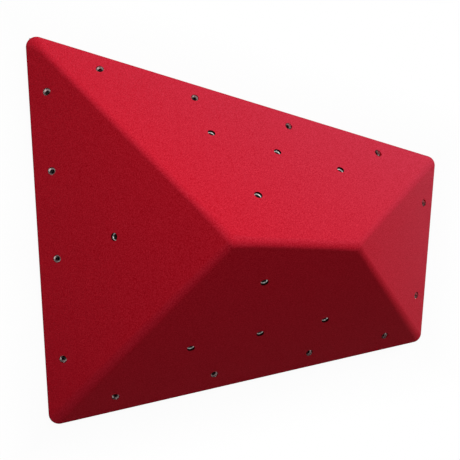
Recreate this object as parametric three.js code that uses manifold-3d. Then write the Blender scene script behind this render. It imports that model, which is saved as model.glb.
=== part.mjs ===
// Climbing volume: a hollow four-sided moulding that screws to a climbing wall and takes bolt-on holds.
// Millimetres. The wall plane is z = 0, +Z points away from the wall, +X is right and +Y is up.
import * as THREE from 'three';
import { ConvexGeometry } from 'three/addons/geometries/ConvexGeometry.js';
import { mergeVertices } from 'three/addons/utils/BufferGeometryUtils.js';
import Module from 'manifold-3d';

const wasm = await Module();
wasm.setup();

// Footprint on the wall: its sharp corners, with the bottom left one at zero
const leftHeight = 660;
const bottomRightX = 678;
const bottomRightY = 84;
const topRightX = 726;
const topRightY = 424;

// Peak and ridge: the ridge falls from the peak towards the right, for a given run along X
const peakX = 288;
const peakY = 302;
const peakRise = 248;
const ridgeRun = 192;

// Moulded skin: an even laminate with rounded ridges, plan corners and rim
const rimHeight = 7;
const skinThickness = 5;
const ridgeRadius = 16;
const cornerRadius = 18;
const rimRadius = 6;
const leastRadius = 0.5;

// Screw cups: countersunk steel bushes, square to the wall, each at the foot of a round recess
const cupDiameter = 12.4;
const cupHeight = 8;
const cupBore = 5.2;
const cupDishDiameter = 11.4;
const cupDishDepth = 3.4;
const cupFootChamfer = 0.6;
const cupSink = 0.4;
const leftScrewInset = 32;
const bottomScrewInset = 32.6;
const rightScrewInset = 31.3;
const topScrewInset = 28.8;
const screwHoleDiameter = 6;
const bossWall = 3;
const bossFloor = 3;
const bossDraft = 1.2;

// Threaded inserts: flanged nuts with bent prongs, each in a plywood pad behind the skin
const nutHoleDiameter = 12.8;
const nutBarrelDiameter = 11.6;
const nutBoreDiameter = 9;
const nutChamfer = 0.6;
const nutRecess = 2.7;
const flangeDiameter = 26;
const flangeThickness = 1.8;
const prongCount = 4;
const prongWidth = 4.4;
const prongTipWidth = 1;
const prongLength = 7;
const prongPitchRadius = 9.6;
const padWidth = 60;
const padThickness = 12;
const padCornerRadius = 8;
const padChamfer = 1.2;

// Clearances: glue line round a bonded piece, and the seat between faces that meet
const glueGap = 0.3;
const seatGap = 0.3;

// How far a cut runs past what it cuts
const overrun = 20;

// Facets of a full turn, of a ridge, of the rim and of a pad's corner
const turnFacets = 18;
const ridgeFacets = 5;
const rimFacets = 3;
const padCornerFacets = 3;

const peak = new THREE.Vector3(peakX, peakY, rimHeight + peakRise);
const corners = {
  topLeft: new THREE.Vector3(0, leftHeight, rimHeight),
  bottomLeft: new THREE.Vector3(0, 0, rimHeight),
  bottomRight: new THREE.Vector3(bottomRightX, bottomRightY, rimHeight),
  topRight: new THREE.Vector3(topRightX, topRightY, rimHeight),
};

// The ridge aims at the point where the long edges would meet, so that both long faces are flat
function meetingPoint(startA, endA, startB, endB) {
  const alongA = endA.clone().sub(startA);
  const alongB = endB.clone().sub(startB);
  const between = startB.clone().sub(startA);
  const turn = alongA.x * alongB.y - alongA.y * alongB.x;
  return startA.clone().addScaledVector(alongA, (between.x * alongB.y - between.y * alongB.x) / turn);
}
const aim = meetingPoint(corners.topLeft, corners.topRight, corners.bottomLeft, corners.bottomRight);
const ridgeEnd = peak.clone().lerp(aim, ridgeRun / (aim.x - peakX));

// The four faces in turn: base edge, the two points above it, screws along the edge at an inset from it,
// and nuts by their share along the edge and their share up the face
const faces = [
  {
    name: 'left',
    edge: [corners.topLeft, corners.bottomLeft],
    top: [peak, peak],
    screwInset: leftScrewInset,
    screwShares: [0.158, 0.354, 0.572, 0.823],
    nutShares: [[0.508, 0.44]],
  },
  {
    name: 'bottom',
    edge: [corners.bottomLeft, corners.bottomRight],
    top: [peak, ridgeEnd],
    screwInset: bottomScrewInset,
    screwShares: [0.172, 0.42, 0.672, 0.882],
    nutShares: [[0.2535, 0.392], [0.487, 0.405], [0.7215, 0.417], [0.396, 0.775]],
  },
  {
    name: 'right',
    edge: [corners.bottomRight, corners.topRight],
    top: [ridgeEnd, ridgeEnd],
    screwInset: rightScrewInset,
    screwShares: [0.252, 0.744],
    nutShares: [],
  },
  {
    name: 'top',
    edge: [corners.topRight, corners.topLeft],
    top: [ridgeEnd, peak],
    screwInset: topScrewInset,
    screwShares: [0.162, 0.387, 0.61, 0.824],
    nutShares: [[0.24, 0.394], [0.4485, 0.3845], [0.654, 0.375], [0.609, 0.737]],
  },
];

// Each face's frame: along its base edge, up its slope and square out of it
for (const face of faces) {
  const [start, end] = face.edge;
  face.along = end.clone().sub(start).normalize();
  face.out = new THREE.Vector3().crossVectors(face.along, face.top[0].clone().sub(start)).normalize();
  face.up = new THREE.Vector3().crossVectors(face.out, face.along);
  face.wallward = new THREE.Vector3(face.along.y, -face.along.x, 0);
  face.turn = new THREE.Quaternion().setFromRotationMatrix(
    new THREE.Matrix4().makeBasis(face.along, face.up, face.out));
}

// Closed mesh to solid, and back to a geometry
function toSolid(geometry, position = new THREE.Vector3(), turn = new THREE.Quaternion()) {
  const bare = geometry.clone();
  bare.deleteAttribute('normal');
  bare.deleteAttribute('uv');
  bare.applyMatrix4(new THREE.Matrix4().compose(position, turn, new THREE.Vector3(1, 1, 1)));
  const merged = mergeVertices(bare);
  return new wasm.Manifold(new wasm.Mesh({
    numProp: 3,
    vertProperties: new Float32Array(merged.attributes.position.array),
    triVerts: new Uint32Array(merged.index.array),
  }));
}

function toGeometry(solid) {
  const mesh = solid.getMesh();
  const geometry = new THREE.BufferGeometry();
  geometry.setAttribute('position', new THREE.BufferAttribute(mesh.vertProperties, 3));
  geometry.setIndex(new THREE.BufferAttribute(mesh.triVerts, 1));
  geometry.computeVertexNormals();
  return geometry;
}

// Round post with its axis along Z, from one height to another
function post(radius, low, high, topRadius = radius) {
  const geometry = new THREE.CylinderGeometry(topRadius, radius, high - low, turnFacets);
  geometry.rotateX(Math.PI / 2);
  geometry.translate(0, 0, (low + high) / 2);
  return geometry;
}

// Point where three planes meet, each given as a normal and its distance from the origin
function planesMeet(planes) {
  const [a, b, c] = planes.map((plane) => plane.normal);
  const bc = new THREE.Vector3().crossVectors(b, c);
  const ca = new THREE.Vector3().crossVectors(c, a);
  const ab = new THREE.Vector3().crossVectors(a, b);
  return bc.clone().multiplyScalar(planes[0].distance)
    .addScaledVector(ca, planes[1].distance)
    .addScaledVector(ab, planes[2].distance)
    .divideScalar(a.dot(bc));
}

// A face's slope, or the upright side under it, moved in by a depth
function slopePlane(face, depth) {
  return { normal: face.out, distance: face.out.dot(face.edge[0]) - depth };
}
function sidePlane(face, depth) {
  return { normal: face.wallward, distance: face.wallward.dot(face.edge[0]) - depth };
}

function mixDirection(normals, weights) {
  const direction = new THREE.Vector3();
  normals.forEach((normal, index) => direction.addScaledVector(normal, weights[index]));
  return direction.normalize();
}

// Ball patch where three faces meet, spanning their three normals
function peakPatch(meeting, depth, radius) {
  const centre = planesMeet(meeting.map((face) => slopePlane(face, depth + radius)));
  const normals = meeting.map((face) => face.out);
  const points = [];
  for (let i = 0; i <= ridgeFacets; i += 1) {
    for (let j = 0; j <= ridgeFacets - i; j += 1) {
      const direction = mixDirection(normals, [i, j, ridgeFacets - i - j]);
      points.push(centre.clone().addScaledVector(direction, radius));
    }
  }
  return points;
}

// Height of the rim fillet's centre line under a face
function rimCentreHeight(face, depth) {
  return rimHeight - depth * (1 - face.out.dot(face.wallward)) / face.out.z;
}

// Rounded plan corner between two faces: a fillet from the upright side up to the slope, and its foot
function cornerPatch(before, after, depth, rim, corner, footHeight) {
  const level = { normal: new THREE.Vector3(0, 0, 1), distance: 0 };
  const centre = planesMeet([sidePlane(before, depth + corner), sidePlane(after, depth + corner), level]);
  const heights = [before, after].map((face) => rimCentreHeight(face, depth + rim));
  const points = [];
  for (let i = 0; i <= ridgeFacets; i += 1) {
    const share = i / ridgeFacets;
    const steepest = mixDirection([before.out, after.out], [1 - share, share]);
    const outward = new THREE.Vector3(steepest.x, steepest.y, 0).normalize();
    const middle = centre.clone().addScaledVector(outward, corner - rim);
    middle.z = THREE.MathUtils.lerp(heights[0], heights[1], share);
    for (let j = 0; j <= rimFacets; j += 1) {
      const lift = Math.asin(steepest.z) * j / rimFacets;
      const point = middle.clone().addScaledVector(outward, rim * Math.cos(lift));
      point.z += rim * Math.sin(lift);
      points.push(point);
    }
    points.push(middle.clone().addScaledVector(outward, rim).setZ(footHeight));
  }
  return points;
}

// The whole rounded form, moved in by a depth from the outside, down to a given height
function roundedForm(depth, footHeight) {
  const ridge = Math.max(ridgeRadius - depth, leastRadius);
  const rim = Math.max(rimRadius - depth, leastRadius);
  const corner = Math.max(cornerRadius - depth, rim + leastRadius);
  const [left, bottom, right, top] = faces;
  const points = [
    ...peakPatch([left, bottom, top], depth, ridge),
    ...peakPatch([bottom, right, top], depth, ridge),
  ];
  faces.forEach((face, index) => {
    const next = faces[(index + 1) % faces.length];
    points.push(...cornerPatch(face, next, depth, rim, corner, footHeight));
  });
  return new ConvexGeometry(points);
}

// Round recess that a cup drops into, and the boss behind it
const recessRadius = cupDiameter / 2 + glueGap;
const bossRadius = recessRadius + bossWall;

// Screw places: on the face over the wall point, with the heights of all that sits on one axis
function screwPlace(face, share) {
  const rise = -face.up.z / face.up.dot(face.wallward);
  const foot = face.edge[0].clone().lerp(face.edge[1], share).addScaledVector(face.wallward, -face.screwInset);
  const cupTop = rimHeight + (face.screwInset - recessRadius) * rise - cupSink;
  const cupFoot = cupTop - cupHeight;
  return {
    x: foot.x,
    y: foot.y,
    cupFoot,
    recessFoot: cupFoot - seatGap,
    bossFoot: cupFoot - seatGap - bossFloor,
    faceTop: rimHeight + (face.screwInset + bossRadius + bossDraft) * rise,
  };
}

// Nut places: a point on the face, given by its shares along the edge and up the face
function nutPlace(face, [edgeShare, riseShare]) {
  const low = face.edge[0].clone().lerp(face.edge[1], edgeShare);
  const high = face.top[0].clone().lerp(face.top[1], edgeShare);
  return low.lerp(high, riseShare);
}

// Depths below the face, along a nut's own axis
const padFrontDepth = skinThickness + seatGap;
const padBackDepth = padFrontDepth + padThickness;
const flangeFrontDepth = padBackDepth + seatGap;
const nutBarrelLength = flangeFrontDepth - nutRecess;

// Moulded skin with its bosses, recesses and holes
function skinGeometry() {
  let cavity = toSolid(roundedForm(skinThickness, -overrun));
  let skin = toSolid(roundedForm(0, 0));
  for (const face of faces) {
    for (const share of face.screwShares) {
      const place = screwPlace(face, share);
      const axis = new THREE.Vector3(place.x, place.y, 0);
      const boss = post(bossRadius, place.bossFoot, place.faceTop, bossRadius + bossDraft);
      cavity = cavity.subtract(toSolid(boss, axis));
    }
  }
  skin = skin.subtract(cavity);
  for (const face of faces) {
    for (const share of face.screwShares) {
      const place = screwPlace(face, share);
      const axis = new THREE.Vector3(place.x, place.y, 0);
      const recess = post(recessRadius, place.recessFoot, place.faceTop + overrun);
      const hole = post(screwHoleDiameter / 2, place.bossFoot - overrun, place.recessFoot + overrun);
      skin = skin.subtract(toSolid(recess, axis)).subtract(toSolid(hole, axis));
    }
    for (const shares of face.nutShares) {
      const hole = post(nutHoleDiameter / 2, -skinThickness - overrun, overrun);
      skin = skin.subtract(toSolid(hole, nutPlace(face, shares), face.turn));
    }
  }
  return toGeometry(skin);
}

// Closed profile turned about Z
function turned(profile) {
  const points = [...profile, profile[0]].map(([radius, height]) => new THREE.Vector2(radius, height));
  const geometry = new THREE.LatheGeometry(points, turnFacets);
  geometry.rotateX(Math.PI / 2);
  return geometry;
}

// Countersunk steel cup, standing on its foot
function cupGeometry() {
  const outer = cupDiameter / 2;
  const bore = cupBore / 2;
  return turned([
    [bore, 0],
    [outer - cupFootChamfer, 0],
    [outer, cupFootChamfer],
    [outer, cupHeight],
    [cupDishDiameter / 2, cupHeight],
    [bore, cupHeight - cupDishDepth],
  ]);
}

// One prong, or with a clearance the slot that it is driven into, standing on the flange at its rim
function prongGeometry(clearance) {
  const foot = prongWidth / 2 + clearance;
  const tip = prongTipWidth / 2 + clearance;
  const outline = new THREE.Shape([
    new THREE.Vector2(-foot, -flangeThickness),
    new THREE.Vector2(foot, -flangeThickness),
    new THREE.Vector2(foot, 0),
    new THREE.Vector2(tip, prongLength + clearance),
    new THREE.Vector2(-tip, prongLength + clearance),
    new THREE.Vector2(-foot, 0),
  ]);
  const depth = flangeThickness + 2 * clearance;
  const geometry = new THREE.ExtrudeGeometry(outline, { depth, bevelEnabled: false });
  geometry.rotateX(Math.PI / 2);
  geometry.translate(0, prongPitchRadius + depth / 2, 0);
  return geometry;
}

function prongTurn(index) {
  return new THREE.Quaternion().setFromAxisAngle(
    new THREE.Vector3(0, 0, 1), (index + 0.5) * 2 * Math.PI / prongCount);
}

// Flanged nut: barrel along +Z from the flange's front face at zero, prongs bent up out of the rim
function nutGeometry() {
  const bore = nutBoreDiameter / 2;
  const barrel = nutBarrelDiameter / 2;
  const flange = flangeDiameter / 2;
  let nut = toSolid(turned([
    [bore + nutChamfer, -flangeThickness],
    [flange, -flangeThickness],
    [flange, 0],
    [barrel, 0],
    [barrel, nutBarrelLength],
    [bore + nutChamfer, nutBarrelLength],
    [bore, nutBarrelLength - nutChamfer],
    [bore, nutChamfer - flangeThickness],
  ]));
  const prongOuter = prongPitchRadius + flangeThickness / 2;
  const notchDepth = flange - prongOuter + overrun;
  const notch = new THREE.BoxGeometry(prongWidth, notchDepth, 2 * flangeThickness + overrun);
  notch.translate(0, prongOuter + notchDepth / 2, 0);
  for (let index = 0; index < prongCount; index += 1) {
    const turn = prongTurn(index);
    nut = nut.subtract(toSolid(notch, undefined, turn));
    nut = nut.add(toSolid(prongGeometry(0), undefined, turn));
  }
  return toGeometry(nut);
}

// Plywood pad: back face at zero, front face against the skin, with the barrel's hole and prong slots
function padGeometry() {
  const half = padWidth / 2 - padChamfer;
  const straight = padWidth / 2 - padCornerRadius;
  const outline = new THREE.Shape();
  const radius = half - straight;
  outline.absarc(straight, straight, radius, 0, Math.PI / 2);
  outline.absarc(-straight, straight, radius, Math.PI / 2, Math.PI);
  outline.absarc(-straight, -straight, radius, Math.PI, 1.5 * Math.PI);
  outline.absarc(straight, -straight, radius, 1.5 * Math.PI, 2 * Math.PI);
  const board = new THREE.ExtrudeGeometry(outline, {
    depth: padThickness - 2 * padChamfer,
    bevelThickness: padChamfer,
    bevelSize: padChamfer,
    bevelSegments: 1,
    curveSegments: padCornerFacets,
  });
  board.translate(0, 0, padChamfer);
  let pad = toSolid(board);
  const hole = post(nutBarrelDiameter / 2 + glueGap, -overrun, padThickness + overrun);
  pad = pad.subtract(toSolid(hole));
  for (let index = 0; index < prongCount; index += 1) {
    const slot = prongGeometry(glueGap);
    slot.translate(0, 0, -seatGap);
    pad = pad.subtract(toSolid(slot, undefined, prongTurn(index)));
  }
  return toGeometry(pad);
}

// Materials: red textured gel coat, bright steel and birch plywood
const materials = {
  skin: new THREE.MeshStandardMaterial({ color: 0xc4202f, roughness: 0.85, metalness: 0 }),
  cup: new THREE.MeshStandardMaterial({ color: 0xb9bcbe, roughness: 0.25, metalness: 1 }),
  nut: new THREE.MeshStandardMaterial({ color: 0xc9ccc8, roughness: 0.35, metalness: 1 }),
  pad: new THREE.MeshStandardMaterial({ color: 0xc9a878, roughness: 0.7, metalness: 0 }),
};

function piece(name, geometry, material) {
  const mesh = new THREE.Mesh(geometry, material);
  mesh.name = name;
  return mesh;
}

const volume = new THREE.Group();
const skin = piece('moulded_skin', skinGeometry(), materials.skin);
volume.add(skin);

const cupShape = cupGeometry();
const nutShape = nutGeometry();
const padShape = padGeometry();
for (const face of faces) {
  face.screwShares.forEach((share, index) => {
    const place = screwPlace(face, share);
    const cup = piece(`screw_cup_${face.name}_${index + 1}`, cupShape, materials.cup);
    cup.position.set(place.x, place.y, place.cupFoot);
    volume.add(cup);
  });
  face.nutShares.forEach((shares, index) => {
    const fitting = new THREE.Group();
    fitting.position.copy(nutPlace(face, shares));
    fitting.quaternion.copy(face.turn);
    const pad = piece(`nut_pad_${face.name}_${index + 1}`, padShape, materials.pad);
    pad.position.z = -padBackDepth;
    const nut = piece(`t_nut_${face.name}_${index + 1}`, nutShape, materials.nut);
    nut.position.z = -flangeFrontDepth;
    fitting.add(pad, nut);
    volume.add(fitting);
  });
}

// The origin is the middle of the object's box, on the wall plane
skin.geometry.computeBoundingBox();
const middle = skin.geometry.boundingBox.getCenter(new THREE.Vector3());
volume.position.set(-middle.x, -middle.y, 0);

export default volume;
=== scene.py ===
"""Climbing volume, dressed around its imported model. Metres, with the wall plane at z = 0."""
import math

import bpy
from mathutils import Matrix, Vector


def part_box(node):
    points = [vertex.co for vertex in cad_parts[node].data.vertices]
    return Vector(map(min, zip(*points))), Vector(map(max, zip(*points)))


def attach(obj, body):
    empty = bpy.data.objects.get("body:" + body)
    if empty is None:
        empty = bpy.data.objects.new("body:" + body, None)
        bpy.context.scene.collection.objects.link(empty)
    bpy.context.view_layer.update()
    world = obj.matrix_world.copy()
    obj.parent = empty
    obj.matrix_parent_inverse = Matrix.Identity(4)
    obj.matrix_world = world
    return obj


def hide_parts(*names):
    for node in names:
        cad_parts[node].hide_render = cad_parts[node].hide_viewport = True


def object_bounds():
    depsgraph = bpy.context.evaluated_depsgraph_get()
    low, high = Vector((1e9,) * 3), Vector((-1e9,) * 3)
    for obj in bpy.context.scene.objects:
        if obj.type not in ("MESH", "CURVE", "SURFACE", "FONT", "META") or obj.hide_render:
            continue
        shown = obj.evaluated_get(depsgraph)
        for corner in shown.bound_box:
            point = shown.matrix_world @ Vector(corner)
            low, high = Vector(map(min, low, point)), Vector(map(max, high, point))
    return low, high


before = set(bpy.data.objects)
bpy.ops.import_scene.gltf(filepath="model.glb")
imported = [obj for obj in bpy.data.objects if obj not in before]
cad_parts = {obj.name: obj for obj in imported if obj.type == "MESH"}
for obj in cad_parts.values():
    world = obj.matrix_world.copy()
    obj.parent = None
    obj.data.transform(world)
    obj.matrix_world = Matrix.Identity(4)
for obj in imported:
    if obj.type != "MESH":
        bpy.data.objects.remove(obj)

cad_bounds = [list(corner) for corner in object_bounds()]

# Footprint and peak, as the model has them, with the bottom left corner at zero
LEFT_HEIGHT = 0.660
BOTTOM_RIGHT = Vector((0.678, 0.084, 0.0))
TOP_RIGHT = Vector((0.726, 0.424, 0.0))
PEAK = Vector((0.288, 0.302, 0.248))
RIDGE_RUN = 0.192

# Moulded skin
RIM_HEIGHT = 0.007
SKIN_THICKNESS = 0.005
RIDGE_RADIUS = 0.016
CORNER_RADIUS = 0.018
RIM_RADIUS = 0.006
LEAST_RADIUS = 0.0005
MOUTH_RADIUS = 0.0006

# Screw cups and the bosses they stand in
CUP_DIAMETER = 0.0124
CUP_HEIGHT = 0.008
CUP_BORE = 0.0055
CUP_DISH_DIAMETER = 0.0112
CUP_DISH_DEPTH = 0.0034
CUP_LIP_RADIUS = 0.0004
CUP_SINK = 0.0004
SCREW_HOLE_DIAMETER = 0.006
BOSS_WALL = 0.003
BOSS_FLOOR = 0.003
BOSS_DRAFT = 0.0012
BOSS_EDGE = 0.0012

# Threaded inserts and their pads
NUT_HOLE_DIAMETER = 0.0128
NUT_BARREL_DIAMETER = 0.0116
NUT_BORE_DIAMETER = 0.0090
NUT_CHAMFER = 0.0006
NUT_MOUTH_CHAMFER = 0.0010
NUT_RECESS = 0.0034
THREAD_PITCH = 0.0015
THREAD_DEPTH = 0.0003
THREAD_FOOT = 0.42 * THREAD_PITCH
THREAD_CREST = 0.08 * THREAD_PITCH
FLANGE_DIAMETER = 0.026
FLANGE_THICKNESS = 0.0018
PRONG_COUNT = 4
PRONG_WIDTH = 0.0044
PRONG_TIP_WIDTH = 0.001
PRONG_LENGTH = 0.007
PRONG_PITCH_RADIUS = 0.0096
PAD_WIDTH = 0.060
PAD_THICKNESS = 0.012
PAD_CORNER_RADIUS = 0.008
PAD_CHAMFER = 0.0012
BEAD_WIDTH = 0.0045

# Gaps for glue, round a seated piece and under it
GLUE_GAP = 0.0003
SEAT_GAP = 0.0003

# How far a cutting tool reaches past what it cuts
OVERRUN = 0.020

# Sizes that follow from these, with depths measured from the outer face
RECESS_RADIUS = CUP_DIAMETER / 2 + GLUE_GAP
PAD_BACK_DEPTH = SKIN_THICKNESS + SEAT_GAP + PAD_THICKNESS
FLANGE_FRONT_DEPTH = PAD_BACK_DEPTH + SEAT_GAP
NUT_BARREL_LENGTH = FLANGE_FRONT_DEPTH - NUT_RECESS

# Glue bead round a pad: its section as (spread from the pad's edge, height down from the skin)
BEAD_SECTION = (
    (-0.0004, -0.0002),
    (BEAD_WIDTH, -0.0002),
    (BEAD_WIDTH * 0.78, 0.0007),
    (BEAD_WIDTH * 0.42, 0.0019),
    (BEAD_WIDTH * 0.18, 0.0038),
    (0.0002, 0.0052),
    (-0.0004, 0.0052),
)
BEAD_STEPS = 12

# How full the bead is on average, and its waves round the pad: their size, count and start
BEAD_FULLNESS = 0.8
BEAD_WAVES = ((0.16, 3, 0.7), (0.12, 8, 0.0), (0.08, 17, 2.0))

# Chopped glass strands of the laminate: how many ways they lie, and their length, width and depth
STRAND_WAYS = 9
STRAND_SIZE = (0.034, 0.0013, 0.026)

# Fineness of round forms
BALL_SEGMENTS = 64
TURN_STEPS = 48
THREAD_STEPS = 24
CORNER_STEPS = 6
LIP_STEPS = 3
EDGE_STEPS = 2

# Edges up to this angle are shaded smooth, and flat faces outweigh the rest there
SMOOTH_ANGLE = math.radians(32)
FLAT_FACE_WEIGHT = 100

# How nearly two points are one, and two faces one flat face
SAME_POINT = 1e-7
FLAT_ANGLE = math.radians(0.2)

# How nearly a point lies on a face, on a bore's wall or, as a share of its radius, on a hole's mouth,
# which is looked for within this many radii
FACE_ERROR = 0.00002
BORE_ERROR = 0.0001
MOUTH_ERROR = 0.02
MOUTH_REACH = 5

# How far up or down a normal has to point for the skin's foot, and for the face of a board
FOOT_NORMAL = 0.9
BOARD_NORMAL = 0.5

# Each face: screws along its base edge at an inset, and nuts by shares along the edge and up the slope
FACE_ROWS = (
    ("left", 0.0320, (0.158, 0.354, 0.572, 0.823), ((0.508, 0.44),)),
    ("bottom", 0.0326, (0.172, 0.42, 0.672, 0.882),
     ((0.2535, 0.392), (0.487, 0.405), (0.7215, 0.417), (0.396, 0.775))),
    ("right", 0.0313, (0.252, 0.744), ()),
    ("top", 0.0288, (0.162, 0.387, 0.61, 0.824),
     ((0.24, 0.394), (0.4485, 0.3845), (0.654, 0.375), (0.609, 0.737))),
)


def middle_of(node):
    low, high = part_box(node)
    return (low + high) / 2


# The footprint's place in the frame, read from the first screw cup
first_cup = middle_of("screw_cup_left_1")
FOOTPRINT = Vector((
    first_cup.x - FACE_ROWS[0][1],
    first_cup.y - LEFT_HEIGHT * (1 - FACE_ROWS[0][2][0]),
    RIM_HEIGHT,
))
CORNERS = [FOOTPRINT + corner for corner in (
    Vector((0, LEFT_HEIGHT, 0)), Vector((0, 0, 0)), BOTTOM_RIGHT, TOP_RIGHT)]
peak = FOOTPRINT + PEAK


def meeting_point(start_a, end_a, start_b, end_b):
    """Where two lines in the base plane would meet."""
    along_a = end_a - start_a
    along_b = end_b - start_b
    between = start_b - start_a
    turn = along_a.x * along_b.y - along_a.y * along_b.x
    return start_a + along_a * ((between.x * along_b.y - between.y * along_b.x) / turn)


aim = meeting_point(CORNERS[0], CORNERS[3], CORNERS[1], CORNERS[2])
ridge_end = peak.lerp(aim, RIDGE_RUN / (aim.x - peak.x))


class Face:
    """One slope of the skin, with its own frame and what is fixed in it."""

    def __init__(self, row, start, end, top_start, top_end):
        self.name, self.inset, self.screw_shares, self.nut_shares = row
        self.start, self.end = start, end
        self.top_start, self.top_end = top_start, top_end
        self.along = (end - start).normalized()
        self.out = self.along.cross(top_start - start).normalized()
        self.up = self.out.cross(self.along)
        self.wallward = Vector((self.along.y, -self.along.x, 0))

    def slope(self, depth):
        """The face's plane at a depth, as its normal and its distance from the origin."""
        return self.out, self.out.dot(self.start) - depth

    def side(self, depth):
        """The upright plane on the face's base edge, at a depth."""
        return self.wallward, self.wallward.dot(self.start) - depth

    def rim_height(self, depth):
        """Height of the rim fillet's centre line."""
        return RIM_HEIGHT - depth * (1 - self.out.dot(self.wallward)) / self.out.z

    def screw(self, share):
        """Place of a cup's foot, on its axis."""
        foot = self.start.lerp(self.end, share) - self.wallward * self.inset
        rise = -self.up.z / self.up.dot(self.wallward)
        low = RIM_HEIGHT + (self.inset - RECESS_RADIUS) * rise
        return Vector((foot.x, foot.y, low - CUP_SINK - CUP_HEIGHT))

    def mouth_top(self):
        """Height at which a boss has left the skin."""
        rise = -self.up.z / self.up.dot(self.wallward)
        return RIM_HEIGHT + (self.inset + RECESS_RADIUS + BOSS_WALL + BOSS_DRAFT) * rise

    def nut(self, shares, depth):
        """Placing of a piece whose +Z comes out of the face, at a depth below it."""
        low = self.start.lerp(self.end, shares[0])
        high = self.top_start.lerp(self.top_end, shares[0])
        turn = Matrix((self.along, self.up, self.out)).transposed().to_4x4()
        return Matrix.Translation(low.lerp(high, shares[1]) - self.out * depth) @ turn


left, bottom, right, top = faces = [
    Face(FACE_ROWS[0], CORNERS[0], CORNERS[1], peak, peak),
    Face(FACE_ROWS[1], CORNERS[1], CORNERS[2], peak, ridge_end),
    Face(FACE_ROWS[2], CORNERS[2], CORNERS[3], ridge_end, ridge_end),
    Face(FACE_ROWS[3], CORNERS[3], CORNERS[0], ridge_end, peak),
]


# Ridges that are tighter than the rest: their two faces, their end below the peak, their radius,
# and the shares of their length that it runs between
TIGHT_RIDGES = (
    (left, top, CORNERS[0], 0.012, (0.14, 0.90)),
    (bottom, top, ridge_end, 0.013, (0.20, 0.80)),
)


def planes_meet(planes):
    """The point that three planes share, each given by its normal and its distance from the origin."""
    rows = Matrix([normal for normal, distance in planes])
    return rows.inverted() @ Vector([distance for normal, distance in planes])


def ridge_balls(depth):
    """Radius and centre of each ball that the ridges are rounded over, moved in by a depth."""
    radius = max(RIDGE_RADIUS - depth, LEAST_RADIUS)
    for meeting in ((left, bottom, top), (bottom, right, top)):
        yield radius, planes_meet([face.slope(depth + radius) for face in meeting])
    for first, second, end, tight, shares in TIGHT_RIDGES:
        radius = max(tight - depth, LEAST_RADIUS)
        way = (end - peak).normalized()
        for share in shares:
            across = (way, way.dot(peak.lerp(end, share)))
            yield radius, planes_meet([first.slope(depth + radius), second.slope(depth + radius), across])


# Modelling helpers

def deselect():
    if bpy.context.object and bpy.context.object.mode != "OBJECT":
        bpy.ops.object.mode_set(mode="OBJECT")
    bpy.ops.object.select_all(action="DESELECT")


def make_active(piece):
    deselect()
    piece.select_set(True)
    bpy.context.view_layer.objects.active = piece


def edit_all(piece, mode="VERT"):
    make_active(piece)
    bpy.ops.object.mode_set(mode="EDIT")
    bpy.ops.mesh.select_mode(type=mode)
    bpy.ops.mesh.select_all(action="SELECT")


def leave_edit():
    bpy.ops.object.mode_set(mode="OBJECT")


def join(pieces):
    deselect()
    for piece in pieces:
        piece.select_set(True)
    bpy.context.view_layer.objects.active = pieces[0]
    if len(pieces) > 1:
        bpy.ops.object.join()
    return bpy.context.object


def settle(piece, placing=None):
    """Moves the piece's place into its mesh, so that its object sits at the origin."""
    make_active(piece)
    if placing is not None:
        piece.matrix_world = placing @ piece.matrix_world
    bpy.ops.object.transform_apply(location=True, rotation=True, scale=True)
    return piece


def copy_of(piece, name, placing):
    copy = piece.copy()
    copy.data = piece.data.copy()
    copy.name = copy.data.name = name
    bpy.context.collection.objects.link(copy)
    return settle(copy, placing)


def discard(piece):
    bpy.data.objects.remove(piece, do_unlink=True)


def outward(piece):
    """Merges doubled points and turns all faces outwards."""
    edit_all(piece)
    bpy.ops.mesh.remove_doubles(threshold=SAME_POINT)
    bpy.ops.mesh.normals_make_consistent(inside=False)
    leave_edit()
    return piece


def end_heights(piece, edge):
    return [piece.data.vertices[index].co.z for index in edge.vertices]


def round_edges(piece, chosen, width, steps):
    """Rounds the edges of a piece whose numbers are chosen."""
    edit_all(piece, "EDGE")
    bpy.ops.mesh.select_all(action="DESELECT")
    leave_edit()
    for edge in piece.data.edges:
        edge.select = edge.index in chosen
    bpy.ops.object.mode_set(mode="EDIT")
    bpy.ops.mesh.bevel(offset=width, segments=steps)
    leave_edit()


def cut(piece, tool, operation="DIFFERENCE"):
    """Joins or cuts a piece by a tool, which is then thrown away."""
    make_active(piece)
    boolean = piece.modifiers.new("cut", "BOOLEAN")
    boolean.operation = operation
    boolean.solver = "EXACT"
    boolean.material_mode = "TRANSFER"
    boolean.object = tool
    bpy.ops.object.modifier_apply(modifier=boolean.name)
    discard(tool)
    return piece


def turned(profile):
    """Spins a closed profile of (radius, height) points about Z."""
    deselect()
    bpy.ops.mesh.primitive_circle_add(vertices=len(profile), radius=CUP_DIAMETER, fill_type="NOTHING")
    piece = bpy.context.object
    order = [piece.data.edges[0].vertices[0]]
    links = {vertex.index: [] for vertex in piece.data.vertices}
    for edge in piece.data.edges:
        first, second = edge.vertices
        links[first].append(second)
        links[second].append(first)
    while len(order) < len(profile):
        order.append(next(link for link in links[order[-1]] if link not in order))
    for index, (radius, height) in zip(order, profile):
        piece.data.vertices[index].co = (radius, 0, height)
    edit_all(piece)
    bpy.ops.mesh.spin(steps=TURN_STEPS, angle=2 * math.pi, center=(0, 0, 0), axis=(0, 0, 1))
    leave_edit()
    return outward(piece)


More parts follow.
